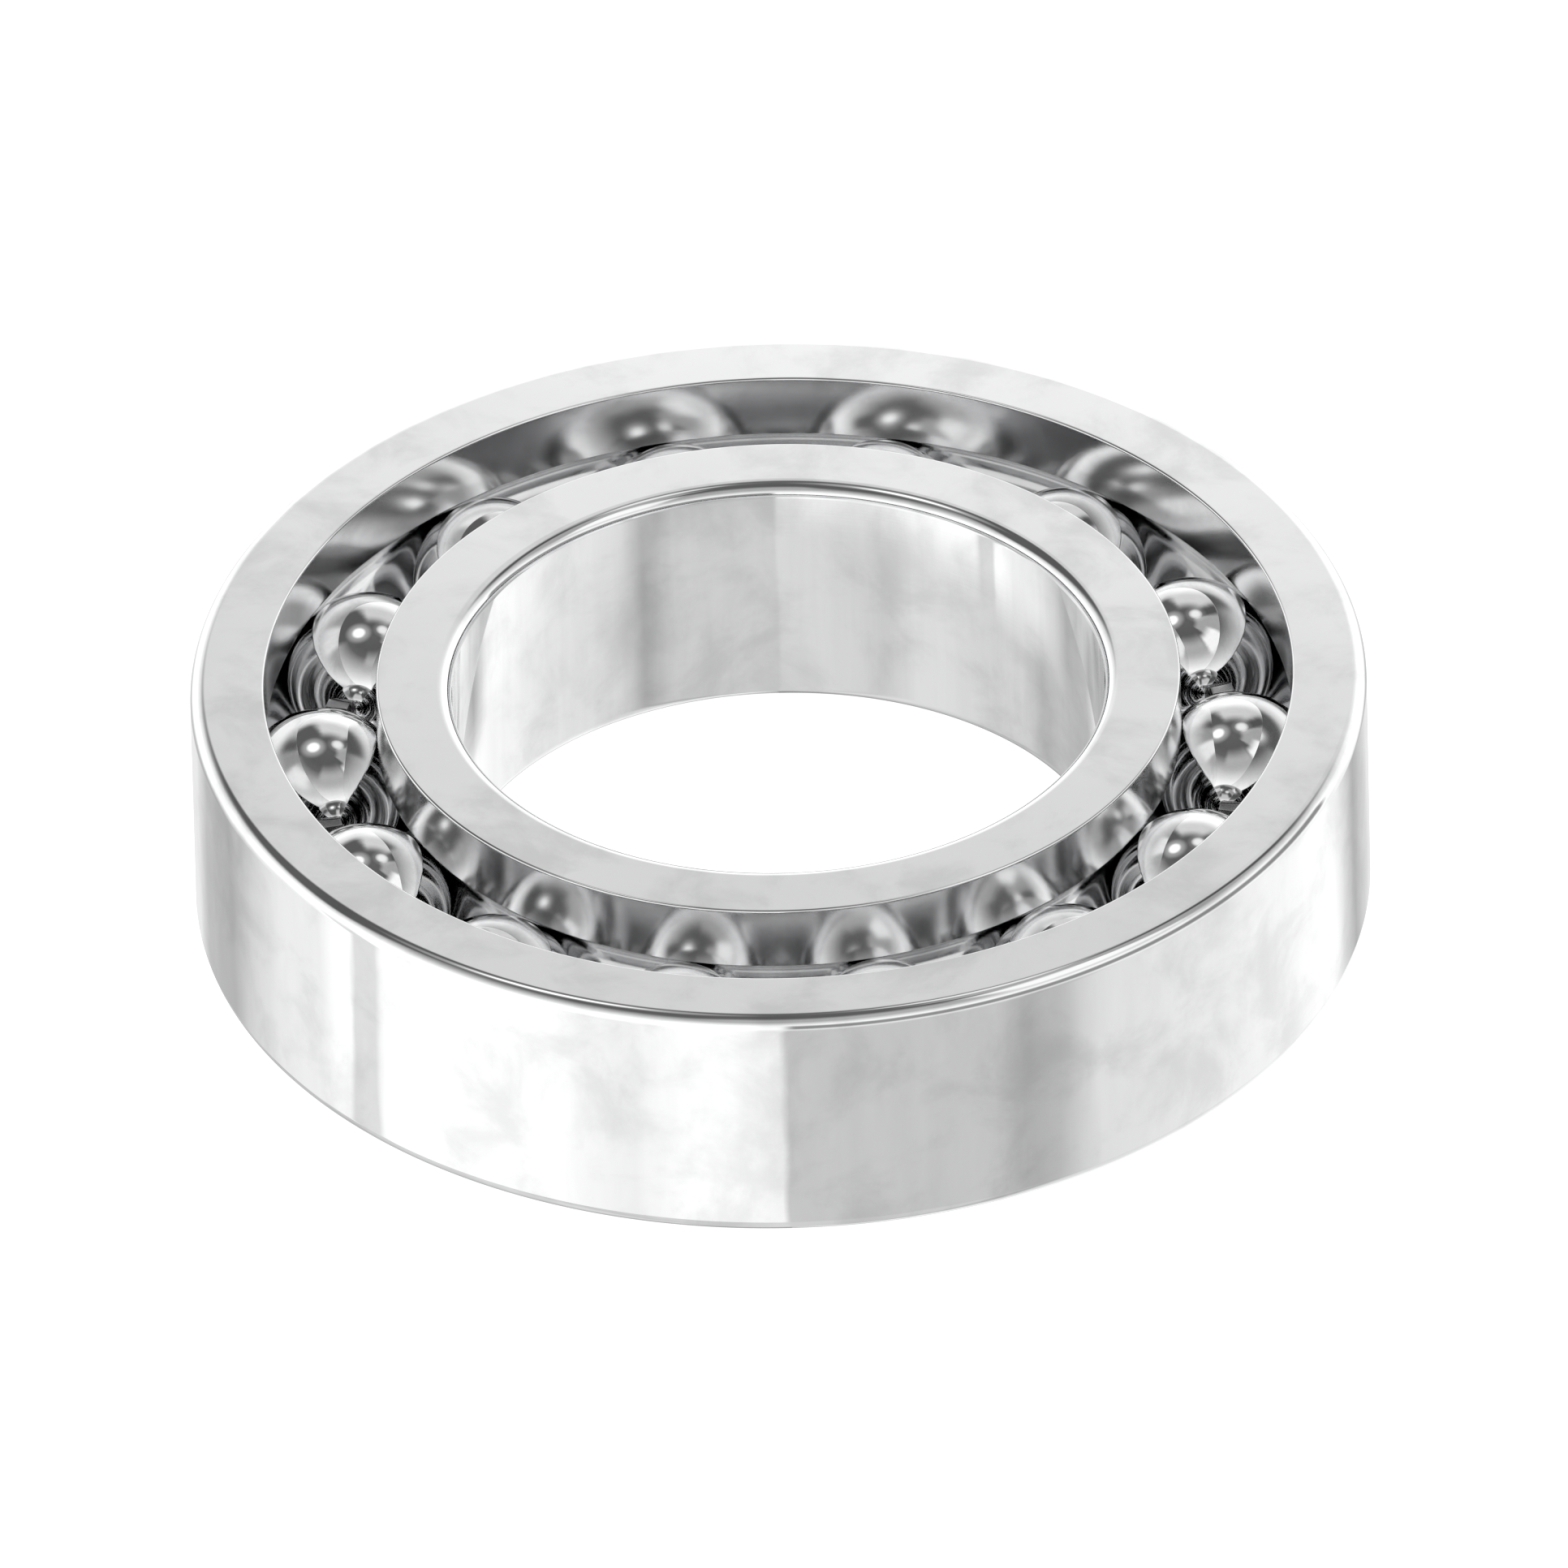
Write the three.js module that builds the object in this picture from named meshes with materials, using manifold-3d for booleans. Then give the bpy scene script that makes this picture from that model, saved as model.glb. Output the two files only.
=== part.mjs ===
// Single-row deep groove ball bearing: two grooved rings, and a ring of balls in a snap-in cage.
// Millimetres. +Z is the axis that the rings turn about, and the origin is the centre of the
// ball circle, halfway between the two faces.

import * as THREE from "three";
import { mergeVertices } from "three/addons/utils/BufferGeometryUtils.js";
import Module from "manifold-3d";

// Rings
const boreDiameter = 50;
const outsideDiameter = 90;
const width = 20;
const cornerRadius = 1.1; // round corners of the bore and of the outside
const lipChamfer = 0.2; // small bevel where a shoulder meets a face
const innerShoulderHeight = 2.2; // shoulder above the bottom of its raceway
const outerShoulderHeight = 2.1;
const innerConformity = 0.52; // raceway radius over ball diameter
const outerConformity = 0.53;
const runningPlay = 0.08; // gap between a ball and each raceway

// Balls
const ballDiameter = 12.7;
const ballCount = 14;
const firstBallDegrees = -0.7; // where the first ball stands, from +X

// Cage, which goes in from the lower face and grips each ball with two horns
const cageClearance = 3.1; // gap between the cage and each ring's shoulder
const cageRecess = 1.9; // from the lower face of the rings in to the cage
const pocketPlay = 0.15; // gap between a ball and its pocket
const hornHeight = 1.7; // how far the horns reach past the middle of the balls
const hornWidth = 1.7; // radial, at the tip
const hornTaper = 4.6; // height over which the cage narrows to its horns
const slotWidth = 1.4; // slot between two horns, which lets them spring
const slotDepth = 4.6;
const baseChamfer = 0.4;

// Facets
const ringFacets = 84; // round a ring
const grooveFacets = 10; // across a raceway
const cornerFacets = 3;
const ballFacets = 16;
const pocketFacets = 20;

// Worked out from the sizes above
const halfWidth = width / 2;
const ballRadius = ballDiameter / 2;
const boreRadius = boreDiameter / 2;
const outsideRadius = outsideDiameter / 2;
const pitchRadius = (boreRadius + outsideRadius) / 2;
const innerRaceway = pitchRadius - ballRadius - runningPlay;
const outerRaceway = pitchRadius + ballRadius + runningPlay;
const innerShoulder = innerRaceway + innerShoulderHeight;
const outerShoulder = outerRaceway - outerShoulderHeight;
const ballStep = (2 * Math.PI) / ballCount;
const firstBall = (firstBallDegrees * Math.PI) / 180;
const cageBottom = cageRecess - halfWidth;
const cageTop = hornHeight;
const overshoot = 1; // how far a cutter runs past what it cuts

const wasm = await Module();
wasm.setup();

// Solids and cuts

function toSolid(geometry) {
  const bare = geometry.clone();
  bare.deleteAttribute("normal");
  bare.deleteAttribute("uv");
  const merged = mergeVertices(bare, 1e-4);
  return new wasm.Manifold(
    new wasm.Mesh({
      numProp: 3,
      vertProperties: new Float32Array(merged.attributes.position.array),
      triVerts: new Uint32Array(merged.index.array),
    }),
  );
}

function toGeometry(solid) {
  const mesh = solid.getMesh();
  const geometry = new THREE.BufferGeometry();
  geometry.setAttribute("position", new THREE.BufferAttribute(mesh.vertProperties, 3));
  geometry.setIndex(new THREE.BufferAttribute(mesh.triVerts, 1));
  geometry.computeVertexNormals();
  return geometry;
}

function subtractAll(geometry, cutters) {
  const cut = cutters.reduce((solid, cutter) => solid.subtract(toSolid(cutter)), toSolid(geometry));
  return toGeometry(cut);
}

// Profiles are closed loops of (radius, height) points, turned about Z

function arc(radius, height, size, from, to, steps) {
  return Array.from({ length: steps + 1 }, (_, i) => {
    const angle = from + ((to - from) * i) / steps;
    return new THREE.Vector2(radius + size * Math.cos(angle), height + size * Math.sin(angle));
  });
}

function turned(profile) {
  const loop = [...profile, profile[0].clone()];
  return new THREE.LatheGeometry(loop, ringFacets).rotateX(Math.PI / 2);
}

function outerRingProfile() {
  const grooveRadius = outerConformity * ballDiameter;
  const grooveCentre = outerRaceway - grooveRadius;
  const reach = Math.acos((outerShoulder - grooveCentre) / grooveRadius);
  const corner = outsideRadius - cornerRadius;
  return [
    new THREE.Vector2(outerShoulder + lipChamfer, -halfWidth),
    ...arc(corner, cornerRadius - halfWidth, cornerRadius, -Math.PI / 2, 0, cornerFacets),
    ...arc(corner, halfWidth - cornerRadius, cornerRadius, 0, Math.PI / 2, cornerFacets),
    new THREE.Vector2(outerShoulder + lipChamfer, halfWidth),
    new THREE.Vector2(outerShoulder, halfWidth - lipChamfer),
    ...arc(grooveCentre, 0, grooveRadius, reach, -reach, grooveFacets),
    new THREE.Vector2(outerShoulder, lipChamfer - halfWidth),
  ];
}

function innerRingProfile() {
  const grooveRadius = innerConformity * ballDiameter;
  const grooveCentre = innerRaceway + grooveRadius;
  const reach = Math.acos((grooveCentre - innerShoulder) / grooveRadius);
  const corner = boreRadius + cornerRadius;
  return [
    new THREE.Vector2(innerShoulder, lipChamfer - halfWidth),
    ...arc(grooveCentre, 0, grooveRadius, Math.PI + reach, Math.PI - reach, grooveFacets),
    new THREE.Vector2(innerShoulder, halfWidth - lipChamfer),
    new THREE.Vector2(innerShoulder - lipChamfer, halfWidth),
    ...arc(corner, halfWidth - cornerRadius, cornerRadius, Math.PI / 2, Math.PI, cornerFacets),
    ...arc(corner, cornerRadius - halfWidth, cornerRadius, Math.PI, Math.PI * 1.5, cornerFacets),
    new THREE.Vector2(innerShoulder - lipChamfer, -halfWidth),
  ];
}

function ball() {
  return new THREE.SphereGeometry(ballRadius, ballFacets, 10).rotateX(Math.PI / 2);
}

// Cage

function cageProfile() {
  const inside = innerShoulder + cageClearance;
  const outside = outerShoulder - cageClearance;
  const middle = (inside + outside) / 2;
  return [
    new THREE.Vector2(inside + baseChamfer, cageBottom),
    new THREE.Vector2(outside - baseChamfer, cageBottom),
    new THREE.Vector2(outside, cageBottom + baseChamfer),
    new THREE.Vector2(outside, cageTop - hornTaper),
    new THREE.Vector2(middle + hornWidth / 2, cageTop),
    new THREE.Vector2(middle - hornWidth / 2, cageTop),
    new THREE.Vector2(inside, cageTop - hornTaper),
    new THREE.Vector2(inside, cageBottom + baseChamfer),
  ];
}

function pocketCutter(angle) {
  return new THREE.SphereGeometry(ballRadius + pocketPlay, pocketFacets, 12)
    .rotateX(Math.PI / 2)
    .translate(pitchRadius, 0, 0)
    .rotateZ(angle);
}

// A slot with a round bottom, seen along the radius, open at the top of the cage.
function slotCutter(angle) {
  const half = slotWidth / 2;
  const low = cageTop - slotDepth + half;
  const outline = new THREE.Shape();
  outline.moveTo(half, cageTop + overshoot);
  outline.lineTo(-half, cageTop + overshoot);
  outline.lineTo(-half, low);
  outline.absarc(0, low, half, Math.PI, 2 * Math.PI);
  const length = outerShoulder - innerShoulder;
  const options = { depth: length, bevelEnabled: false, curveSegments: 5 };
  return new THREE.ExtrudeGeometry(outline, options)
    .rotateX(Math.PI / 2)
    .rotateZ(Math.PI / 2)
    .translate(pitchRadius - length / 2, 0, 0)
    .rotateZ(angle);
}

function cage() {
  const cutters = [];
  for (let i = 0; i < ballCount; i += 1) {
    const between = firstBall + (i + 0.5) * ballStep;
    cutters.push(pocketCutter(firstBall + i * ballStep));
    cutters.push(slotCutter(between));
  }
  return subtractAll(turned(cageProfile()), cutters);
}

// Materials
const ringSteel = new THREE.MeshStandardMaterial({ color: 0xd2d3d5, roughness: 0.16, metalness: 1 });
const ballSteel = new THREE.MeshStandardMaterial({ color: 0xdcdddf, roughness: 0.06, metalness: 1 });
const cageSteel = new THREE.MeshStandardMaterial({ color: 0xb9babc, roughness: 0.32, metalness: 1 });

// Assembly
const bearing = new THREE.Group();

function addPiece(name, geometry, material) {
  const mesh = new THREE.Mesh(geometry, material);
  mesh.name = name;
  bearing.add(mesh);
  return mesh;
}

addPiece("outer_ring", turned(outerRingProfile()), ringSteel);
addPiece("inner_ring", turned(innerRingProfile()), ringSteel);
addPiece("snap_cage", cage(), cageSteel);

for (let i = 0; i < ballCount; i += 1) {
  const angle = firstBall + i * ballStep;
  const piece = addPiece(`ball_${String(i + 1).padStart(2, "0")}`, ball(), ballSteel);
  piece.position.set(pitchRadius * Math.cos(angle), pitchRadius * Math.sin(angle), 0);
  piece.rotation.z = angle;
}

export default bearing;
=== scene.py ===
# An open deep groove ball bearing: two ground steel rings, fourteen balls and a snap cage.
# Metres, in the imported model's frame: +Z is the bearing's axis, and the origin is its middle.

import math

import bmesh
import bpy
import numpy as np
from mathutils import Matrix, Vector


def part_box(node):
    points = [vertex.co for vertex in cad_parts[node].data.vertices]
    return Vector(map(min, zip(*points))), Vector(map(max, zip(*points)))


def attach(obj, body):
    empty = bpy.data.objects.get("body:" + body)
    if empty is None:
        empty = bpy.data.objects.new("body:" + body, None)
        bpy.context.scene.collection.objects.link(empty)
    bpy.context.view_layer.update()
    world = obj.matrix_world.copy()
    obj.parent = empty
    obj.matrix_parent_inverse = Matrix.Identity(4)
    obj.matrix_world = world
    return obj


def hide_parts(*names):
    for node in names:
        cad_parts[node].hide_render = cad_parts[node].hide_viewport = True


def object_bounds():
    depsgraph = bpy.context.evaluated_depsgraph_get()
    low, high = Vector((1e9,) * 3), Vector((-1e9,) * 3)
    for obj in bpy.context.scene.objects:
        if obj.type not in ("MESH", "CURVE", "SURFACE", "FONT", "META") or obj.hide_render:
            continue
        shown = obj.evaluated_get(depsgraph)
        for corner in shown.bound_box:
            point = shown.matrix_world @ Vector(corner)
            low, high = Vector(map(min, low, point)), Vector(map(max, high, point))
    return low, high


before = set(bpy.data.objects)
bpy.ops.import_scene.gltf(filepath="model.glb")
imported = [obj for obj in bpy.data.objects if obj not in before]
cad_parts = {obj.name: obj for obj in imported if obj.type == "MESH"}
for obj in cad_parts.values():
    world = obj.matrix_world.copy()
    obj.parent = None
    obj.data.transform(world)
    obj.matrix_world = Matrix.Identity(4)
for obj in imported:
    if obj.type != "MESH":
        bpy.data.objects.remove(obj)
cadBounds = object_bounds()
scene = bpy.context.scene
mm = 0.001
weldReach = 0.1e-6  # metres: points of a mesh closer than this are one point


# Camera: a very long lens, so far away that the bearing shows almost no perspective

cameraValues = {
    "elevation": 35.65,  # degrees above the floor
    "roll": -1.43,  # degrees
    "lens": 1608,  # millimetres
    "sensor": 36,
    "width": 120 * mm,  # seen from side to side at the bearing
    "aimRight": 0.25 * mm,
    "aimDown": 0.12 * mm,
    "reflections": 7,  # of mirror in mirror
}


def makeCamera(values):
    elevation = math.radians(values["elevation"])
    ahead = Vector((0, math.cos(elevation), -math.sin(elevation)))
    right = Vector((1, 0, 0))
    turn = Matrix((right, right.cross(ahead), -ahead)).transposed()
    turn = turn @ Matrix.Rotation(math.radians(values["roll"]), 3, "Z")
    aim = turn.col[0] * values["aimRight"] - turn.col[1] * values["aimDown"]
    distance = values["width"] * values["lens"] / values["sensor"]
    camera = bpy.data.cameras.new("camera")
    camera.sensor_width = values["sensor"]
    camera.lens = values["lens"]
    camera.clip_end = 2 * distance
    holder = bpy.data.objects.new("camera", camera)
    holder.matrix_world = Matrix.Translation(aim - ahead * distance) @ turn.to_4x4()
    scene.collection.objects.link(holder)
    scene.camera = holder
    scene.view_settings.view_transform = "Standard"
    scene.cycles.glossy_bounces = values["reflections"]


makeCamera(cameraValues)
print("camera: {:.2f} degrees up".format(cameraValues["elevation"]))


# Meshes from arrays of points and of faces with four corners

def makeObject(name, points, faces, marks=None):
    # marks is one number for each point, which a material reads as the attribute "shoulder"
    mesh = bpy.data.meshes.new(name)
    mesh.vertices.add(len(points))
    mesh.vertices.foreach_set("co", points.astype(np.float32).ravel())
    mesh.loops.add(faces.size)
    mesh.loops.foreach_set("vertex_index", faces.astype(np.int32).ravel())
    mesh.polygons.add(len(faces))
    mesh.polygons.foreach_set("loop_start", np.arange(0, faces.size, 4, dtype=np.int32))
    mesh.update(calc_edges=True)
    mesh.shade_smooth()
    if marks is not None:
        layer = mesh.attributes.new("shoulder", "FLOAT", "POINT")
        layer.data.foreach_set("value", marks.astype(np.float32))
    made = bpy.data.objects.new(name, mesh)
    scene.collection.objects.link(made)
    return made


def gridFaces(rows, columns, closed=False):
    # each face joins a grid point to the next along its row, the next row and back
    index = np.arange(rows * columns).reshape(rows, columns)
    if closed:
        index = np.pad(index, ((0, 1), (0, 1)), mode="wrap")
    corners = [index[:-1, :-1], index[1:, :-1], index[1:, 1:], index[:-1, 1:]]
    return np.stack(corners, -1).reshape(-1, 4)


def outward(points, faces):
    # the volume between every face and the origin adds up to more than zero when they face out
    a, b, c, d = (points[faces[:, corner]] for corner in range(4))
    volume = (np.cross(b - a, c - a) * a).sum() + (np.cross(c - a, d - a) * a).sum()
    return faces if volume > 0 else faces[:, ::-1]


def weld(points, faces):
    # points closer than the reach become one
    rounded = np.round(points / weldReach).astype(np.int64)
    first, group = np.unique(rounded, axis=0, return_index=True, return_inverse=True)[1:]
    return points[first], group.reshape(-1)[faces]


# Node trees

def addNode(tree, kind, inputs=None, **settings):
    made = tree.nodes.new(kind)
    for name, value in settings.items():
        setattr(made, name, value)
    for name, value in (inputs or {}).items():
        if isinstance(value, bpy.types.NodeSocket):
            tree.links.new(value, made.inputs[name])
        else:
            made.inputs[name].default_value = value
    return made


def calculate(tree, operation, *values):
    inputs = dict(enumerate(values))
    return addNode(tree, "ShaderNodeMath", inputs, operation=operation).outputs[0]


def smoothRange(tree, value, low, high, fromValue=0.0, toValue=1.0):
    inputs = {0: value, 1: low, 2: high, 3: fromValue, 4: toValue}
    made = addNode(tree, "ShaderNodeMapRange", inputs, interpolation_type="SMOOTHSTEP")
    return made.outputs[0]


def mixValues(tree, factor, first, second):
    made = addNode(tree, "ShaderNodeMix", {0: factor, 2: first, 3: second}, data_type="FLOAT")
    return made.outputs[0]


def greyRamp(tree, value, stops):
    # stops are (place, brightness); a ramp's own two stops take the first and the last
    made = addNode(tree, "ShaderNodeValToRGB", {0: value})
    steps = made.color_ramp.elements
    for place, grey in stops[1:-1]:
        steps.new(place)
    for step, (place, grey) in zip(steps, stops):
        step.position = place
        step.color = (grey, grey, grey, 1)
    return made.outputs[0]


def newMaterial(name):
    material = bpy.data.materials.new(name)
    material.use_nodes = True
    material.node_tree.nodes.clear()
    return material, material.node_tree


def finishMaterial(tree, surface):
    addNode(tree, "ShaderNodeOutputMaterial", {"Surface": surface})


# Studio: a pale floor, soft lamps, and a round tent around the bearing that only its shine sees

floorValues = {
    "halfSize": 1.5,
    "gap": 0.1 * mm,  # under the bearing
    "glow": 0.90,
    "paint": 0.30,
}

tentValues = {
    "radius": 320 * mm,
    "steps": 64,
    "strength": 1.20,
    "wander": 1.5,  # degrees that the edges of the light panels waver
    "wanderScale": 11.0,
    "wanderStretch": 5.0,  # how much finer they waver up and down than round the axis
    "clouds": 0.08,  # how much brighter or darker the clouds make the light
    "cloudScale": 11.0,
    "cloudStretch": 3.0,
    "cloudDetail": 5.0,
    "cloudRoughness": 0.6,
    "low": -0.606,  # height over radius, where the wall panels end and the floor panels begin
    "lowEnd": -0.590,
    "rise": -0.40,  # height over radius, where the panels begin to give way to the sky
    "riseEnd": 0.02,
    # degrees round the axis from the front, brightness
    "wallPanels": (
        (-180, 0.72), (-155, 0.74), (-146, 0.50), (-130, 0.42), (-121, 0.62), (-110, 0.80),
        (-97, 0.84), (-91, 1.02), (-88.4, 1.02), (-88, 0.72), (-80.4, 0.72), (-80, 1.04),
        (-44, 1.02), (-37, 0.92), (-28, 0.86), (-19, 1.00), (-10, 0.99), (-0.4, 0.87),
        (0, 0.55), (38, 0.53), (44, 0.41), (51, 0.48), (59, 0.70), (88, 0.83), (110, 0.92),
        (122, 1.00), (131, 0.93), (138, 0.62), (143, 0.42), (150, 0.56), (160, 0.70), (180, 0.72),
    ),
    "floorPanels": (
        (-180, 0.30), (-151, 0.42), (-139, 0.50), (-126, 0.54), (-113, 0.47), (-101, 0.63),
        (-88, 0.62), (-63, 0.70), (-52, 0.69), (-40, 0.57), (-25, 0.64), (-0.4, 0.66),
        (0, 0.60), (38, 0.59), (50, 0.40), (61, 0.67), (76, 0.71), (100, 0.79), (113, 0.88),
        (126, 0.88), (142, 1.00), (164, 0.72), (180, 0.45),
    ),
    # degrees above the floor, brightness
    "sky": (
        (0, 1.15), (18, 1.05), (30, 0.72), (40, 0.50), (50, 0.31), (60, 0.12), (70, 0.10),
        (90, 0.115),
    ),
    # small soft lights: cosine of the angle from their middle where they begin and are full
    "spots": (
        {"towards": (-0.285, 0.155, 0.947), "core": 0.85, "coreSize": (0.987, 0.9995),
         "halo": 0.30, "haloSize": (0.955, 0.998)},
        {"towards": (0.20, 0.25, 0.946), "core": 0.65, "coreSize": (0.988, 0.9994),
         "halo": 0.10, "haloSize": (0.970, 0.998)},
    ),
}

# Soft boxes and dark flags above the bearing: degrees round the axis from the front (middle and
# half the span), degrees above the floor, brightness, and how soft the edges are
panels = (
    {"name": "back_box", "turn": (171, 25), "height": (42, 17), "light": 0.63, "soft": (8, 9)},
    {"name": "back_low_box", "turn": (160, 30), "height": (23, 10), "light": 1.05, "soft": (12, 9)},
    {"name": "right_box", "turn": (91, 31), "height": (61, 17), "light": 0.37, "soft": (6, 4)},
    {"name": "front_box", "turn": (12, 30), "height": (53, 10), "light": 0.42, "soft": (7, 11)},
    {"name": "bright_box", "turn": (64, 20), "height": (49, 13), "light": 0.95, "soft": (5, 6)},
    {"name": "right_flag", "turn": (131, 10), "height": (56, 15), "light": 0.085, "soft": (6, 7)},
    {"name": "left_flag", "turn": (-128, 37), "height": (49, 14), "light": 0.10, "soft": (7, 6)},
    {"name": "low_flag", "turn": (55, 55), "height": (4, 12), "light": 0.27, "soft": (1.5, 6)},
)

lampValues = (
    {"name": "lamp_left", "place": (-0.9, -0.5, 1.1), "size": 0.9, "power": 14},
    {"name": "lamp_right", "place": (0.8, -0.9, 0.9), "size": 1.0, "power": 9},
    {"name": "lamp_back", "place": (0.2, 1.2, 1.0), "size": 1.1, "power": 11},
)

worldValues = {
    "light": 0.8,
    "seen": 1.0,  # plain white, where only the camera looks
}


def makeFloor(values, bottom):
    half = values["halfSize"]
    height = bottom - values["gap"]
    corners = np.array([(-half, -half), (half, -half), (half, half), (-half, half)])
    points = np.column_stack([corners, np.full(4, height)])
    floor = makeObject("floor", points, np.array([[0, 1, 2, 3]]))
    floor.visible_glossy = False
    material, tree = newMaterial("pale_floor")
    paint = values["paint"]
    diffuse = addNode(tree, "ShaderNodeBsdfDiffuse", {"Color": (paint, paint, paint, 1)})
    glow = addNode(tree, "ShaderNodeEmission", {"Strength": values["glow"]})
    both = addNode(tree, "ShaderNodeAddShader", {0: diffuse.outputs[0], 1: glow.outputs[0]})
    clear = addNode(tree, "ShaderNodeBsdfTransparent")
    back = addNode(tree, "ShaderNodeNewGeometry").outputs["Backfacing"]
    side = addNode(tree, "ShaderNodeMixShader", {0: back, 1: both.outputs[0], 2: clear.outputs[0]})
    finishMaterial(tree, side.outputs[0])
    material.cycles.emission_sampling = "NONE"
    floor.data.materials.append(material)


def stretched(tree, vector, amount):
    # makes a pattern finer along the axis
    scale = (1, 1, amount)
    made = addNode(tree, "ShaderNodeVectorMath", {0: vector, 1: scale}, operation="MULTIPLY")
    return made.outputs[0]


def panelEdge(tree, distance, half, soft):
    # 1 inside a panel, falling to 0 across its soft edge
    distance = calculate(tree, "ABSOLUTE", distance)
    return smoothRange(tree, distance, half - soft, half + soft, 1.0, 0.0)


def fromDegrees(stops, turn, start=0.0):
    # places on a ramp, for stops given in degrees
    return [(degrees / turn + start, light) for degrees, light in stops]


def wanderingTurn(tree, values, direction, x, y):
    # the turn round the axis, from 0 to 1 and 0.5 at the front, with a slight wander
    finer = stretched(tree, direction, values["wanderStretch"])
    wander = addNode(tree, "ShaderNodeTexNoise", {"Vector": finer, "Scale": values["wanderScale"]})
    wander = calculate(tree, "SUBTRACT", wander.outputs[0], 0.5)
    turn = calculate(tree, "ARCTAN2", x, calculate(tree, "MULTIPLY", y, -1.0))
    turn = calculate(tree, "ADD", calculate(tree, "DIVIDE", turn, 2 * math.pi), 0.5)
    return calculate(tree, "MULTIPLY_ADD", wander, values["wander"] / 180, turn)


def skyLight(tree, values, panels, turn, z):
    # a sky that darkens upwards, with the soft boxes and flags laid over it one by one
    height = calculate(tree, "MULTIPLY", calculate(tree, "ARCSINE", z), 180 / math.pi)
    share = calculate(tree, "DIVIDE", height, 90.0)
    light = greyRamp(tree, share, fromDegrees(values["sky"], 90))
    degrees = calculate(tree, "MULTIPLY", calculate(tree, "SUBTRACT", turn, 0.5), 360.0)
    for panel in panels:
        beside = calculate(tree, "SUBTRACT", degrees, panel["turn"][0])
        beside = calculate(tree, "WRAP", beside, -180.0, 180.0)
        across = panelEdge(tree, beside, panel["turn"][1], panel["soft"][0])
        above = calculate(tree, "SUBTRACT", height, panel["height"][0])
        along = panelEdge(tree, above, panel["height"][1], panel["soft"][1])
        mask = calculate(tree, "MULTIPLY", across, along)
        light = mixValues(tree, mask, light, panel["light"])
    return light


def clouded(tree, values, direction, light):
    # large faint clouds, so that no panel is quite even
    finer = stretched(tree, direction, values["cloudStretch"])
    clouds = addNode(tree, "ShaderNodeTexNoise", {
        "Vector": finer, "Scale": values["cloudScale"],
        "Detail": values["cloudDetail"], "Roughness": values["cloudRoughness"]})
    clouds = calculate(tree, "SUBTRACT", clouds.outputs[0], 0.5)
    clouds = calculate(tree, "MULTIPLY_ADD", clouds, 2 * values["clouds"], 1.0)
    return calculate(tree, "MULTIPLY", light, clouds)


def withSpots(tree, spots, direction, light):
    for spot in spots:
        towards = Vector(spot["towards"]).normalized()
        dot = addNode(tree, "ShaderNodeVectorMath", {0: direction, 1: towards},
                      operation="DOT_PRODUCT").outputs["Value"]
        core = smoothRange(tree, dot, *spot["coreSize"], 0.0, spot["core"])
        halo = smoothRange(tree, dot, *spot["haloSize"], 0.0, spot["halo"])
        light = calculate(tree, "ADD", light, calculate(tree, "ADD", core, halo))
    return light


def tentMaterial(values, panels):
    material, tree = newMaterial("tent_light")
    place = addNode(tree, "ShaderNodeTexCoord").outputs["Object"]
    direction = addNode(tree, "ShaderNodeVectorMath", {0: place}, operation="NORMALIZE").outputs[0]
    x, y, z = addNode(tree, "ShaderNodeSeparateXYZ", {0: direction}).outputs
    turn = wanderingTurn(tree, values, direction, x, y)
    wall = greyRamp(tree, turn, fromDegrees(values["wallPanels"], 360, 0.5))
    low = greyRamp(tree, turn, fromDegrees(values["floorPanels"], 360, 0.5))
    sides = mixValues(tree, smoothRange(tree, z, values["low"], values["lowEnd"]), low, wall)
    sky = skyLight(tree, values, panels, turn, z)
    light = mixValues(tree, smoothRange(tree, z, values["rise"], values["riseEnd"]), sides, sky)
    light = clouded(tree, values, direction, light)
    light = withSpots(tree, values["spots"], direction, light)
    strength = calculate(tree, "MULTIPLY", light, values["strength"])
    finishMaterial(tree, addNode(tree, "ShaderNodeEmission", {"Strength": strength}).outputs[0])
    material.cycles.emission_sampling = "NONE"
    return material


def makeTent(values, panels):
    points, faces = ballSurface(Vector((0, 0, 0)), values["radius"], values["steps"])
    tent = makeObject("light_tent", points, faces)
    tent.visible_camera = False
    tent.visible_diffuse = False
    tent.visible_shadow = False
    tent.visible_transmission = False
    tent.data.materials.append(tentMaterial(values, panels))


def makeLamps(lamps):
    for values in lamps:
        light = bpy.data.lights.new(values["name"], "AREA")
        light.shape = "DISK"
        light.size = values["size"]
        light.energy = values["power"]
        lamp = bpy.data.objects.new(values["name"], light)
        lamp.location = values["place"]
        lamp.rotation_euler = (-Vector(values["place"])).to_track_quat("-Z", "Y").to_euler()
        lamp.visible_glossy = False
        scene.collection.objects.link(lamp)


def makeWorld(values):
    # plain white behind everything, and a softer white as light
    world = bpy.data.worlds.new("studio")
    world.use_nodes = True
    tree = world.node_tree
    tree.nodes.clear()
    seen = addNode(tree, "ShaderNodeLightPath").outputs["Is Camera Ray"]
    strength = mixValues(tree, seen, values["light"], values["seen"])
    background = addNode(tree, "ShaderNodeBackground", {"Strength": strength, "Color": (1, 1, 1, 1)})
    addNode(tree, "ShaderNodeOutputWorld", {"Surface": background.outputs[0]})
    scene.world = world


# A ball: six square grids on the sides of a cube, evenly spaced in angle, each point moved
# along its line from the centre until it lies on the ball.

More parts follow.
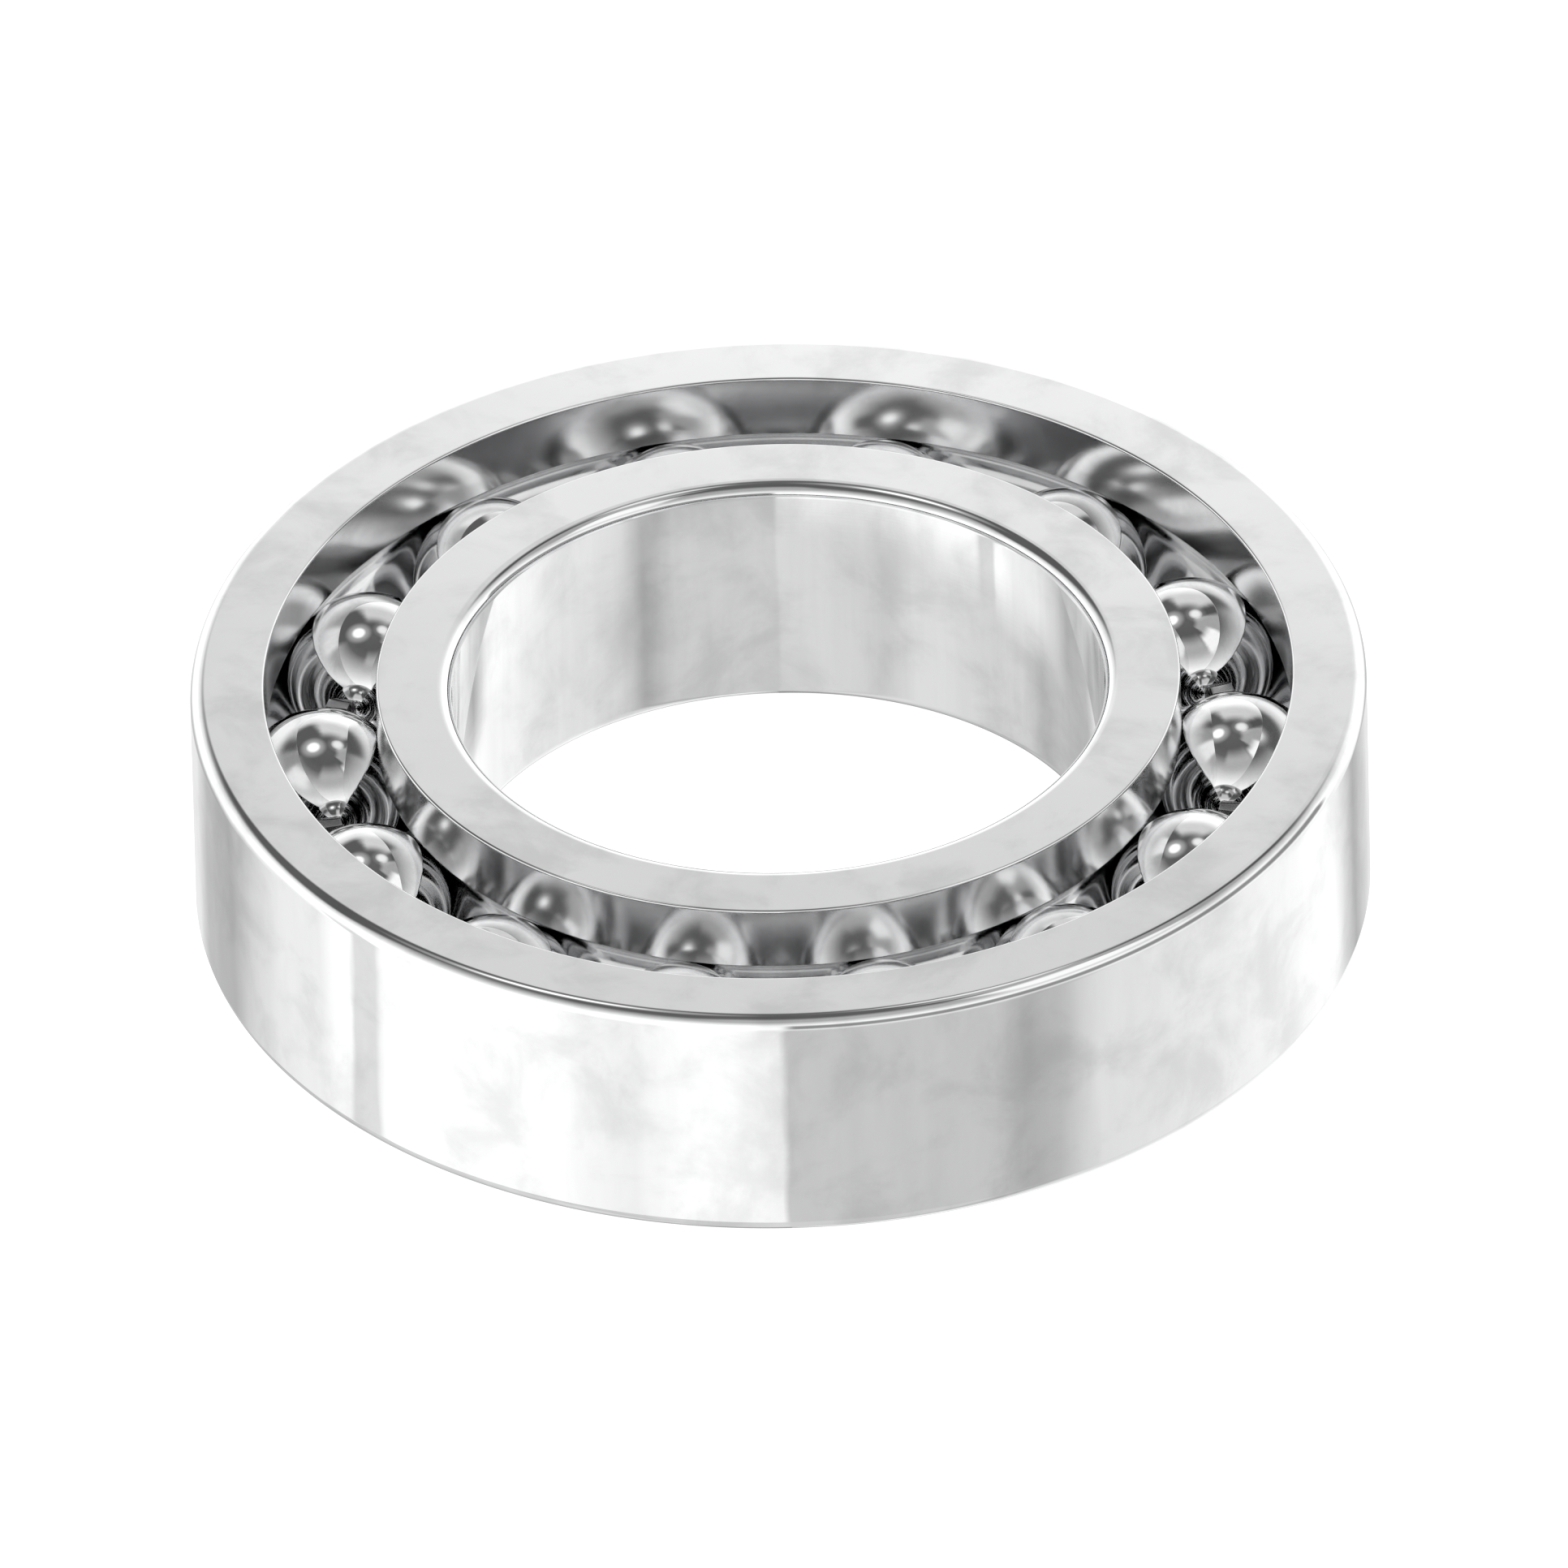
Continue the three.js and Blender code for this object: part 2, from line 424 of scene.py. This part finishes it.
def ballSurface(centre, radius, steps):
    spread = np.tan(np.linspace(-math.pi / 4, math.pi / 4, steps + 1))
    u, v = np.meshgrid(spread, spread, indexing="ij")
    one = np.ones_like(u)
    sides = [(one, u, v), (-one, v, u), (v, one, u), (u, -one, v), (u, v, one), (v, u, -one)]
    points = np.concatenate([np.stack(side, -1).reshape(-1, 3) for side in sides])
    points *= radius / np.linalg.norm(points, axis=1, keepdims=True)
    grid = gridFaces(steps + 1, steps + 1)
    faces = np.concatenate([grid + side * u.size for side in range(len(sides))])
    points, faces = weld(points, faces)
    return points + np.array(centre), faces


makeFloor(floorValues, cadBounds[0][2])
makeTent(tentValues, panels)
makeLamps(lampValues)
makeWorld(worldValues)
print("studio: floor, tent and {} lamps".format(len(lampValues)))


# Finishes

def addSockets(group, ins, outs):
    # ins are (name, type, value), outs are (name, type)
    for name, kind, value in ins:
        group.interface.new_socket(name, in_out="INPUT", socket_type=kind).default_value = value
    for name, kind in outs:
        group.interface.new_socket(name, in_out="OUTPUT", socket_type=kind)
    return group.nodes.new("NodeGroupInput").outputs, group.nodes.new("NodeGroupOutput").inputs


handlingValues = {
    "detail": 6.0,
    "roughness": 0.58,
    "distortion": 0.35,
    "edge": (0.42, 0.70),  # of the noise, where a cloud begins and where it is full
}

linesValues = {
    "detail": 3.0,
    "change": 3.0,  # how much the lines change on the way round
}

tumblingValues = {
    "detail": 4.0,
    "roughness": 0.6,
}


def makeHandling(values):
    # soft clouds left by oil and handling, which dull a polished surface a little
    group = bpy.data.node_groups.new("handling_clouds", "ShaderNodeTree")
    inside, result = addSockets(group, [
        ("Vector", "NodeSocketVector", (0, 0, 0)),
        ("Scale", "NodeSocketFloat", 100.0),
        ("Clean", "NodeSocketColor", (1, 1, 1, 1)),
        ("Clouded", "NodeSocketColor", (0.8, 0.8, 0.8, 1)),
        ("Clean Roughness", "NodeSocketFloat", 0.03),
        ("Clouded Roughness", "NodeSocketFloat", 0.1),
    ], [("Color", "NodeSocketColor"), ("Roughness", "NodeSocketFloat")])
    broad = addNode(group, "ShaderNodeTexNoise", {
        "Vector": inside["Vector"], "Scale": inside["Scale"],
        "Detail": values["detail"], "Roughness": values["roughness"],
        "Distortion": values["distortion"]})
    mask = smoothRange(group, broad.outputs[0], *values["edge"])
    mixed = addNode(group, "ShaderNodeMix", {
        0: mask, 6: inside["Clean"], 7: inside["Clouded"]}, data_type="RGBA")
    rough = mixValues(group, mask, inside["Clean Roughness"], inside["Clouded Roughness"])
    group.links.new(mixed.outputs[2], result["Color"])
    group.links.new(rough, result["Roughness"])
    return group


def makeLines(values):
    # lines that run round the axis, as grinding and lapping leave them: noise over radius and height
    group = bpy.data.node_groups.new("ground_lines", "ShaderNodeTree")
    inside, result = addSockets(group, [
        ("Vector", "NodeSocketVector", (0, 0, 0)),
        ("Pitch", "NodeSocketFloat", 0.0002),
    ], [("Height", "NodeSocketFloat")])
    x, y, z = addNode(group, "ShaderNodeSeparateXYZ", {0: inside["Vector"]}).outputs
    xx = calculate(group, "MULTIPLY", x, x)
    radius = calculate(group, "SQRT", calculate(group, "MULTIPLY_ADD", y, y, xx))
    across = calculate(group, "DIVIDE", radius, inside["Pitch"])
    along = calculate(group, "DIVIDE", z, inside["Pitch"])
    turn = calculate(group, "ARCTAN2", y, x)
    turn = calculate(group, "MULTIPLY", calculate(group, "COSINE", turn), values["change"])
    place = addNode(group, "ShaderNodeCombineXYZ", {0: across, 1: along, 2: turn}).outputs[0]
    noise = addNode(group, "ShaderNodeTexNoise", {
        "Vector": place, "Scale": 1.0, "Detail": values["detail"]})
    group.links.new(noise.outputs[0], result["Height"])
    return group


def makeTumbling(values):
    # the fine pitted skin that tumbling leaves on a machined part
    group = bpy.data.node_groups.new("tumbled_skin", "ShaderNodeTree")
    inside, result = addSockets(group, [
        ("Vector", "NodeSocketVector", (0, 0, 0)),
        ("Size", "NodeSocketFloat", 0.0002),
    ], [("Height", "NodeSocketFloat")])
    scale = calculate(group, "DIVIDE", 1.0, inside["Size"])
    fine = addNode(group, "ShaderNodeTexNoise", {
        "Vector": inside["Vector"], "Scale": scale,
        "Detail": values["detail"], "Roughness": values["roughness"]})
    group.links.new(fine.outputs[0], result["Height"])
    return group


handling = makeHandling(handlingValues)
lines = makeLines(linesValues)
tumbling = makeTumbling(tumblingValues)

ringLook = {
    "name": "ring_steel_polished",
    "Scale": 150.0,  # clouds to the metre
    "Clean": (0.855, 0.857, 0.86, 1),
    "Clouded": (0.725, 0.727, 0.731, 1),
    "Clean Roughness": 0.02,
    "Clouded Roughness": 0.055,
    "Pitch": 0.22 * mm,
    "lineDepth": 0.00012 * mm,
    "shoulderRoughness": 0.16,  # where a surface was turned, not polished
}

ballLook = {
    "name": "ball_steel_mirror",
    "Scale": 180.0,
    "Clean": (0.84, 0.841, 0.844, 1),
    "Clouded": (0.79, 0.791, 0.795, 1),
    "Clean Roughness": 0.008,
    "Clouded Roughness": 0.03,
}

cageLook = {
    "name": "cage_steel_satin",
    "Scale": 260.0,
    "Clean": (0.60, 0.602, 0.607, 1),
    "Clouded": (0.48, 0.482, 0.487, 1),
    "Clean Roughness": 0.27,
    "Clouded Roughness": 0.38,
    "Size": 0.16 * mm,
    "skinDepth": 0.004 * mm,
}


def useGroup(tree, group, values, position):
    # the group takes every value that has the name of one of its inputs
    made = addNode(tree, "ShaderNodeGroup", node_tree=group)
    tree.links.new(position, made.inputs["Vector"])
    for socket in made.inputs:
        if socket.name in values:
            socket.default_value = values[socket.name]
    return made.outputs


def steelMaterial(values):
    material, tree = newMaterial(values["name"])
    position = addNode(tree, "ShaderNodeTexCoord").outputs["Object"]
    clouds = useGroup(tree, handling, values, position)
    shader = addNode(tree, "ShaderNodeBsdfPrincipled", {
        "Base Color": clouds["Color"], "Roughness": clouds["Roughness"], "Metallic": 1.0})
    if "lineDepth" in values:
        mark = addNode(tree, "ShaderNodeAttribute", attribute_name="shoulder").outputs["Fac"]
        rough = mixValues(tree, mark, clouds["Roughness"], values["shoulderRoughness"])
        tree.links.new(rough, shader.inputs["Roughness"])
        height = useGroup(tree, lines, values, position)["Height"]
        bump = addNode(tree, "ShaderNodeBump", {"Height": height, "Distance": values["lineDepth"]})
        tree.links.new(bump.outputs[0], shader.inputs["Normal"])
    if "skinDepth" in values:
        skin = useGroup(tree, tumbling, values, position)
        bump = addNode(tree, "ShaderNodeBump", {
            "Height": skin["Height"], "Distance": values["skinDepth"]})
        tree.links.new(bump.outputs[0], shader.inputs["Normal"])
    finishMaterial(tree, shader.outputs[0])
    return material


ringSteel = steelMaterial(ringLook)
ballSteel = steelMaterial(ballLook)
cageSteel = steelMaterial(cageLook)
print("finishes: ring steel, ball steel, cage steel")


# What the pieces take from the frame

def turnedSize(node):
    # smallest and largest radius from the axis, lowest and highest point
    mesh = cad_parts[node].data
    points = np.empty(len(mesh.vertices) * 3, np.float32)
    mesh.vertices.foreach_get("co", points)
    points = points.reshape(-1, 3).astype(float)
    radius = np.hypot(points[:, 0], points[:, 1])
    return radius.min(), radius.max(), points[:, 2].min(), points[:, 2].max()


def putOnBody(piece, node, body, material):
    piece.data.materials.append(material)
    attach(piece, body)
    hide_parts(node)


ballNodes = sorted(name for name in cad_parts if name.startswith("ball_"))
ballBoxes = [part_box(name) for name in ballNodes]
ballCentres = [(low + high) / 2 for low, high in ballBoxes]
ballRadius = (ballBoxes[0][1].z - ballBoxes[0][0].z) / 2
pitchRadius = ballCentres[0].xy.length
firstBall = math.atan2(ballCentres[0].y, ballCentres[0].x)


# Rings: a closed profile turned round the axis. A profile point at radius r and height z goes
# to (r cos a, r sin a, z) at each angle a.

ringValues = {
    "steps": 420,  # round the axis
    "corner": 1.1 * mm,  # round corner of the bore and of the outside
    "cornerSteps": 16,
    "lip": 0.19 * mm,  # small round edge where a shoulder meets a face
    "lipSteps": 6,
    "outerConformity": 0.53,  # raceway radius over ball diameter
    "innerConformity": 0.52,
    "racewayPlay": 0.015 * mm,
    "racewaySteps": 96,
    "racewayFinish": 0.6,  # 0 polished, 1 turned
    "support": 0.04 * mm,  # rows this close to an edge keep the flat walls flat
}


def arc(radius, height, size, start, end, steps):
    # part of a circle about a point at this radius and height, from one angle to another
    angle = np.radians(np.linspace(start, end, steps + 1))
    return np.column_stack([radius + size * np.cos(angle), height + size * np.sin(angle)])


def supported(runs, finishes, support):
    # joins runs of points, and adds a point close to each end of the straight line between two
    # runs. Each point gets its finish as a third number, from 0 for polished to 1 for turned;
    # finishes gives it for each run and for the line after that run.
    parts = []
    for run, following, (curved, straight) in zip(runs, runs[1:] + runs[:1], finishes):
        start, end = run[-1], following[0]
        along = (end - start) / np.linalg.norm(end - start)
        line = np.array([start + along * support, end - along * support])
        parts.append(np.column_stack([run, np.full(len(run), curved)]))
        parts.append(np.column_stack([line, np.full(2, straight)]))
    return np.vstack(parts)


def ringProfile(values, near, far, half, raceway, grooveRadius, sign):
    # near is the shoulder and far the bore or the outside; sign is +1 for a ring outside its
    # shoulder and -1 for a ring inside it. The loop runs up the far wall and down the near one.
    corner, lip = values["corner"], values["lip"]
    cornerRadius = far - sign * corner
    lipRadius = near + sign * lip
    grooveCentre = raceway - sign * grooveRadius
    reach = math.degrees(math.acos((near - grooveCentre) * sign / grooveRadius))

    def bend(radius, height, size, start, end, steps):
        run = arc(0, height, size, start, end, steps)
        return np.column_stack([radius + sign * run[:, 0], run[:, 1]])

    runs = [
        bend(cornerRadius, corner - half, corner, -90, 0, values["cornerSteps"]),
        bend(cornerRadius, half - corner, corner, 0, 90, values["cornerSteps"]),
        bend(lipRadius, half - lip, lip, 90, 180, values["lipSteps"]),
        bend(grooveCentre, 0, grooveRadius, reach, -reach, values["racewaySteps"]),
        bend(lipRadius, lip - half, lip, 180, 270, values["lipSteps"]),
    ]
    finishes = ((0, 0), (0, 0), (0, 1), (values["racewayFinish"], 1), (0, 0))
    return supported(runs, finishes, values["support"])


def turned(name, profile, steps):
    angle = np.linspace(0, 2 * math.pi, steps, endpoint=False)[:, None]
    radius, height, finish = profile.T
    height = np.broadcast_to(height, (steps, len(profile)))
    points = np.stack([radius * np.cos(angle), radius * np.sin(angle), height], -1).reshape(-1, 3)
    faces = gridFaces(steps, len(profile), closed=True)
    return makeObject(name, points, outward(points, faces), np.tile(finish, steps))


def makeRings(values):
    play, diameter = values["racewayPlay"], 2 * ballRadius
    near, far, low, high = turnedSize("outer_ring")
    profile = ringProfile(values, near, far, high, pitchRadius + ballRadius + play,
                          values["outerConformity"] * diameter, 1)
    outer = turned("outer_ring_ground", profile, values["steps"])
    putOnBody(outer, "outer_ring", "outer_ring", ringSteel)
    far, near, low, high = turnedSize("inner_ring")
    profile = ringProfile(values, near, far, high, pitchRadius - ballRadius - play,
                          values["innerConformity"] * diameter, -1)
    inner = turned("inner_ring_ground", profile, values["steps"])
    putOnBody(inner, "inner_ring", "inner_ring", ringSteel)


makeRings(ringValues)
print("rings: two, {} steps round".format(ringValues["steps"]))


# Balls

ballValues = {
    "steps": 36,  # along each side of the cube that a ball is made from
}


def makeBalls(values):
    for node, centre in zip(ballNodes, ballCentres):
        points, faces = ballSurface(centre, ballRadius, values["steps"])
        ball = makeObject(node + "_polished", points, faces)
        putOnBody(ball, node, node, ballSteel)


makeBalls(ballValues)
print("balls: {}, radius {:.2f} mm".format(len(ballNodes), ballRadius / mm))


# Cage: half of one pocket is worked out, from the lowest point of the pocket to the middle of
# the web beside it, and the rest are its mirror images and turns round the axis.

cageValues = {
    "pocketPlay": 0.15 * mm,
    "hornWidth": 1.7 * mm,  # radial, at the tip
    "hornTaper": 4.6 * mm,  # height over which the walls lean in to the horns
    "slotWidth": 1.4 * mm,
    "slotDepth": 4.6 * mm,
    "edge": 0.15 * mm,
    "edgeSteps": 3,
    "edgeAngle": 38,  # degrees: sharper corners than this are rounded
    "sharpAngle": 35,  # degrees: what is still sharper than this is shaded as a corner
    "mergeReach": 0.5e-6,  # metres
    "settling": 12,  # rounds until a pocket point and the leaning wall agree
    "baseSteps": 8,  # along the underside
    "webSteps": 9,  # up the middle of the web
    "slotEndSteps": 6,
    "slotSteps": 8,
    "depthSteps": 8,  # from the pocket out to the underside, web or slot
    "thicknessSteps": 8,
}


def cageCell(values, inside, outside, bottom, top):
    # The pocket is a sphere about a ball: at radius r from the axis it is a circle of size
    # q = sqrt(R^2 - (r - p)^2), with height z = q sin t and turn a where 2 r p (1 - cos a) =
    # (q cos t)^2. From it straight lines run to the underside, the middle of the web or the slot.
    middle = (inside + outside) / 2
    size = ballRadius + values["pocketPlay"]
    halfStep = math.pi / len(ballNodes)
    halfSlot = values["slotWidth"] / 2
    slotCentre = top - values["slotDepth"] + halfSlot
    slotBottom = slotCentre - halfSlot
    counts = [values["baseSteps"], values["webSteps"], values["slotEndSteps"], values["slotSteps"]]
    stops = np.cumsum([0] + counts)
    rows = np.arange(stops[-1] + 1)
    across = np.linspace(0, 1, values["thicknessSteps"] + 1)

    def wall(height):
        lean = np.clip((height - top + values["hornTaper"]) / values["hornTaper"], 0, 1)
        low = inside + lean * (middle - values["hornWidth"] / 2 - inside)
        high = outside + lean * (middle + values["hornWidth"] / 2 - outside)
        return low + across * (high - low)

    def circle(radius):
        return np.sqrt(size ** 2 - (radius - pitchRadius) ** 2)

    # where each row starts on the pocket
    half = halfStep * middle
    turns = [-math.pi / 2, math.atan2(bottom, half), math.atan2(slotBottom, half),
             math.atan2(slotCentre, half - halfSlot)]
    topTurns = np.arcsin(top / circle(wall(top)))
    turn = np.stack([np.interp(rows, stops, turns + [end]) for end in topTurns], 1)
    height = np.zeros_like(turn)
    for _ in range(values["settling"]):
        height = circle(wall(height)) * np.sin(turn)
    radius = wall(height)
    angle = np.arccos(1 - (circle(radius) * np.cos(turn)) ** 2 / (2 * radius * pitchRadius))

    # where each row ends: the underside, then up the web, round the slot's end and up its side
    part = np.linspace(0, math.pi / 2, values["slotEndSteps"] + 1)[1:]
    up = np.concatenate([
        np.full(counts[0] + 1, bottom),
        np.linspace(bottom, slotBottom, counts[1] + 1)[1:],
        slotCentre - halfSlot * np.cos(part),
        np.linspace(slotCentre, top, counts[3] + 1)[1:]])[:, None]
    back = np.concatenate([
        np.zeros(stops[2] + 1), halfSlot * np.sin(part), np.full(counts[3], halfSlot)])[:, None]
    share = np.minimum(rows / counts[0], 1)[:, None]
    endAngle = share * halfStep - np.arcsin(back / wall(up))

    depth = np.linspace(0, 1, values["depthSteps"] + 1)[:, None, None]
    height = height + depth * (up - height)
    angle = angle + depth * (endAngle - angle)
    radius = wall(height)
    return np.stack([radius * np.cos(angle), radius * np.sin(angle), height], -1), stops


def cageFaces(cell, stops):
    # the skin of the block: both walls, the pocket, the underside, the slot and the horn's tip
    depth, rows, across = cell.shape[:3]
    index = np.arange(depth * rows * across).reshape(depth, rows, across)
    sheets = [index[:, :, 0], index[:, :, -1], index[0], index[-1, :stops[1] + 1],
              index[-1, stops[2]:], index[:, -1, :]]
    faces = []
    for sheet in sheets:
        corners = [sheet[:-1, :-1], sheet[1:, :-1], sheet[1:, 1:], sheet[:-1, 1:]]
        faces.append(np.stack(corners, -1).reshape(-1, 4))
    return np.concatenate(faces)


def turnedCopies(points, faces):
    # the same shape once for every pocket, turned round the axis
    allPoints, allFaces = [], []
    for pocket in range(len(ballNodes)):
        turn = firstBall + pocket * 2 * math.pi / len(ballNodes)
        spin = np.array(Matrix.Rotation(turn, 3, "Z"))
        allPoints.append(points @ spin.T)
        allFaces.append(faces + pocket * len(points))
    return np.concatenate(allPoints), np.concatenate(allFaces)


def settle(piece):
    # takes the result of the piece's modifiers as its own mesh
    bpy.context.view_layer.update()
    finished = piece.evaluated_get(bpy.context.evaluated_depsgraph_get())
    mesh = bpy.data.meshes.new_from_object(finished)
    piece.modifiers.clear()
    piece.data = mesh
    mesh.name = piece.name


def recalculate(piece, reach):
    # joins the parts along their seams and turns every face outwards
    work = bmesh.new()
    work.from_mesh(piece.data)
    bmesh.ops.remove_doubles(work, verts=work.verts, dist=reach)
    bmesh.ops.recalc_face_normals(work, faces=work.faces)
    if work.calc_volume(signed=True) < 0:
        bmesh.ops.reverse_faces(work, faces=work.faces)
    work.to_mesh(piece.data)
    work.free()


def makeCage(values):
    inside, outside, bottom, top = turnedSize("snap_cage")
    cell, stops = cageCell(values, inside, outside, bottom, top)
    faces = cageFaces(cell, stops)
    points = cell.reshape(-1, 3)
    mirrored = points * (1, -1, 1)
    points, faces = (np.concatenate([points, mirrored]),
                     np.concatenate([faces, faces[:, ::-1] + len(points)]))
    points, faces = turnedCopies(points, faces)
    cage = makeObject("snap_cage_satin", points, faces)
    recalculate(cage, values["mergeReach"])
    edge = cage.modifiers.new("edge", "BEVEL")
    edge.width = values["edge"]
    edge.segments = values["edgeSteps"]
    edge.limit_method = "ANGLE"
    edge.angle_limit = math.radians(values["edgeAngle"])
    settle(cage)
    cage.data.shade_smooth()
    cage.data.set_sharp_from_angle(angle=math.radians(values["sharpAngle"]))
    putOnBody(cage, "snap_cage", "cage", cageSteel)
    return cage


cage = makeCage(cageValues)
print("cage: {} faces".format(len(cage.data.polygons)))
